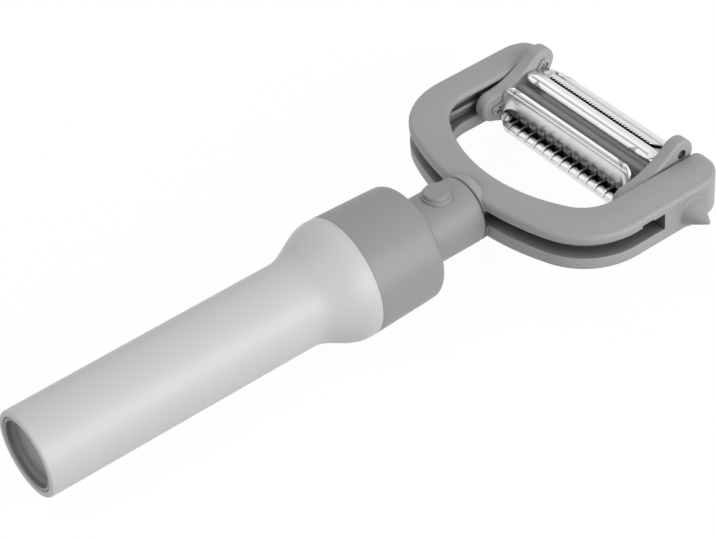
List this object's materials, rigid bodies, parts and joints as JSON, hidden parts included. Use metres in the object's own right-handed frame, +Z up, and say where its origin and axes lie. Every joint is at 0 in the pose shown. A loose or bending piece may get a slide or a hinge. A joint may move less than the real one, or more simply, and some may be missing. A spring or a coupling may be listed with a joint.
{
  "type": "vegetable peeler",
  "caption": "Y-shaped vegetable peeler with a round flared handle, a turning yoke with a lock button, and a carriage of swivelling blades: julienne, serrated and straight.",
  "frame": {"origin": "centre of the flat floor of the end cap's cup, on the handle's axis", "axes": "+X along the handle to the head, +Z up through the lock button, +Y to the left arm of the yoke"},
  "size_m": [0.1877, 0.0861, 0.033],
  "materials": {
    "white_plastic": "satin moulded plastic",
    "grey_plastic": "fine satin moulded plastic",
    "dark_grey_plastic": "satin moulded plastic",
    "bearing_plastic": "natural acetal",
    "black_rubber": "matt",
    "blade_steel": "polished stainless steel",
    "steel": "zinc plated"
  },
  "bodies": {
    "handle": {"handle_grip": "white_plastic", "end_cap": "grey_plastic", "handle_core": "dark_grey_plastic", "core_screws": "steel", "collar": "grey_plastic", "neck": "grey_plastic", "rear_bush": "bearing_plastic", "front_bush": "bearing_plastic", "button_spring": "steel"},
    "button": {"head_button": "grey_plastic", "lock_slider": "dark_grey_plastic", "friction_pad": "black_rubber"},
    "head": {"yoke": "grey_plastic", "stem_washer": "steel", "stem_screw": "steel", "detent_ball": "steel", "detent_spring": "steel"},
    "carriage": {"left_end_plate": "grey_plastic", "right_end_plate": "grey_plastic", "carriage_beam": "dark_grey_plastic", "carriage_screws": "steel"},
    "julienne": {"julienne_blade": "blade_steel", "julienne_pins": "blade_steel"},
    "serrated": {"serrated_blade": "blade_steel", "serrated_pins": "blade_steel"},
    "straight": {"straight_blade": "blade_steel", "straight_pins": "blade_steel"}
  },
  "joints": [
    {"name": "button_press", "type": "slide", "parent": "handle", "child": "button", "axis": [0, 0, -1], "range_m": [0, 0.0013], "stiffness_N_per_m": 1000, "springref_m": -0.0006, "deforming": ["button_spring"]},
    {"name": "head_turn", "type": "hinge", "parent": "handle", "child": "head", "pos_m": [0.118, 0, 0], "axis": [1, 0, 0], "continuous": true},
    {"name": "carriage_turn", "type": "hinge", "parent": "head", "child": "carriage", "pos_m": [0.1724, 0, 0], "axis": [0, -1, 0], "continuous": true},
    {"name": "julienne_swing", "type": "hinge", "parent": "carriage", "child": "julienne", "pos_m": [0.1619, 0, 0.00147], "axis": [0, -1, 0], "range_deg": [-20, 20]},
    {"name": "serrated_swing", "type": "hinge", "parent": "carriage", "child": "serrated", "pos_m": [0.17893, 0, 0.00835], "axis": [0, -1, 0], "range_deg": [-37, 3]},
    {"name": "straight_swing", "type": "hinge", "parent": "carriage", "child": "straight", "pos_m": [0.17637, 0, -0.00983], "axis": [0, -1, 0], "range_deg": [-20, 20]}
  ]
}
